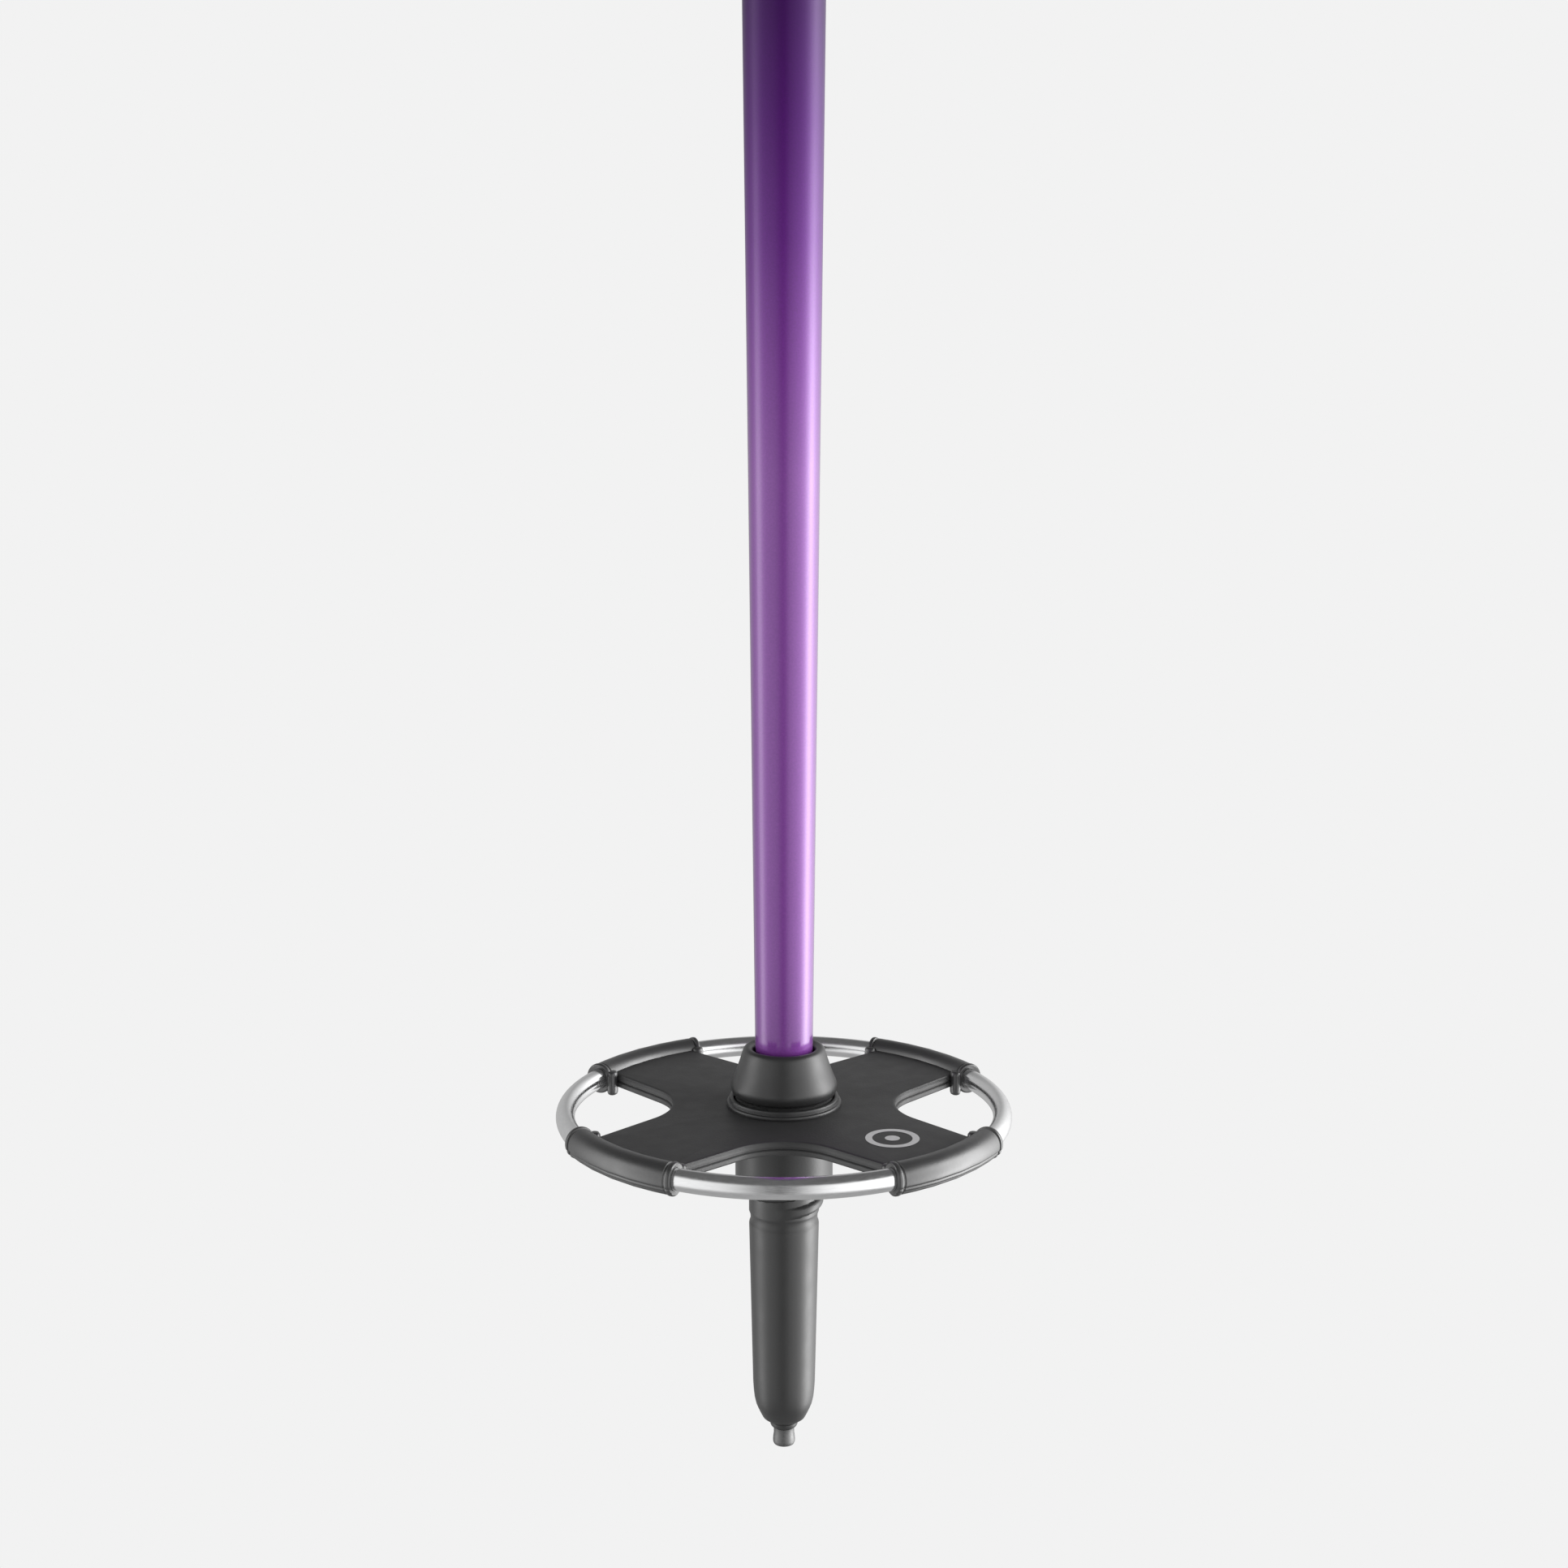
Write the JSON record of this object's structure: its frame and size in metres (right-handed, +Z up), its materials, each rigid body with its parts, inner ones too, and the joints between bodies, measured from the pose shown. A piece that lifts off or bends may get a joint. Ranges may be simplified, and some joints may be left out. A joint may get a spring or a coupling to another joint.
{
  "type": "ski pole",
  "caption": "Fixed-length alpine ski pole: tapered tube shaft, screw-on basket with a wire ring, hard tip, moulded grip and a padded wrist strap with a wedge lock.",
  "frame": {"origin": "centre of the tip's flat end", "axes": "+Z up along the shaft towards the grip, +X towards the grip's finger side; the wrist strap hangs on the -X side"},
  "size_m": [0.1208, 0.095, 1.2],
  "materials": {
    "tip_metal": "sintered grey, slightly worn",
    "ferrule_plastic": "satin-gloss moulded nylon",
    "shaft_purple": "gloss purple, graded from mid purple at the bottom to dark violet above",
    "seal_rubber": "matte",
    "basket_plastic": "fine matte texture on the plate, satin on the sleeves",
    "ring_metal": "polished wire",
    "core_plastic": "moulded, unpolished",
    "grip_rubber": "fine matte texture with moulded ribs",
    "cap_plastic": "satin",
    "wedge_plastic": "satin purple",
    "pin_steel": "drawn wire",
    "webbing": "woven ribs with a coloured edge line",
    "pad_fabric": "knitted face over foam, bound edges",
    "keeper_rubber": "matte",
    "tab_plastic": "satin, ribbed"
  },
  "bodies": {
    "pole": {"carbide_tip": "tip_metal", "tip_ferrule": "ferrule_plastic", "shaft": "shaft_purple", "grip_core": "core_plastic", "grip_sleeve": "grip_rubber", "grip_cap": "cap_plastic", "strap_pin": "pin_steel", "strap_anchor": "webbing"},
    "seal": {"hub_seal": "seal_rubber"},
    "basket": {"basket_body": "basket_plastic", "basket_ring": "ring_metal"},
    "wedge": {"strap_wedge": "wedge_plastic"},
    "strap": {"strap_webbing": "webbing", "strap_pad": "pad_fabric", "strap_end_tab": "tab_plastic"},
    "keeper": {"strap_keeper": "keeper_rubber"}
  },
  "joints": [
    {"name": "seal_travel", "type": "slide", "parent": "pole", "child": "seal", "axis": [0, 0, -1], "range_m": [0, 0.0061]},
    {"name": "basket_turn", "type": "hinge", "parent": "seal", "child": "basket", "pos_m": [0, 0, 0.075], "axis": [0, 0, -1], "range_deg": [0, 540]},
    {"name": "wedge_lift", "type": "slide", "parent": "pole", "child": "wedge", "axis": [0, 0, 1], "range_m": [0, 0.008]},
    {"name": "strap_swing", "type": "hinge", "parent": "pole", "child": "strap", "pos_m": [-0.0255, 0, 1.182], "axis": [0, 1, 0], "range_deg": [0, 110]},
    {"name": "keeper_slide", "type": "slide", "parent": "strap", "child": "keeper", "axis": [0, 0, -1], "range_m": [0, 0.012]}
  ],
  "couplings": [
    {"joint": "seal_travel", "follows": "basket_turn", "m_per_rad": 0.00063662}
  ]
}
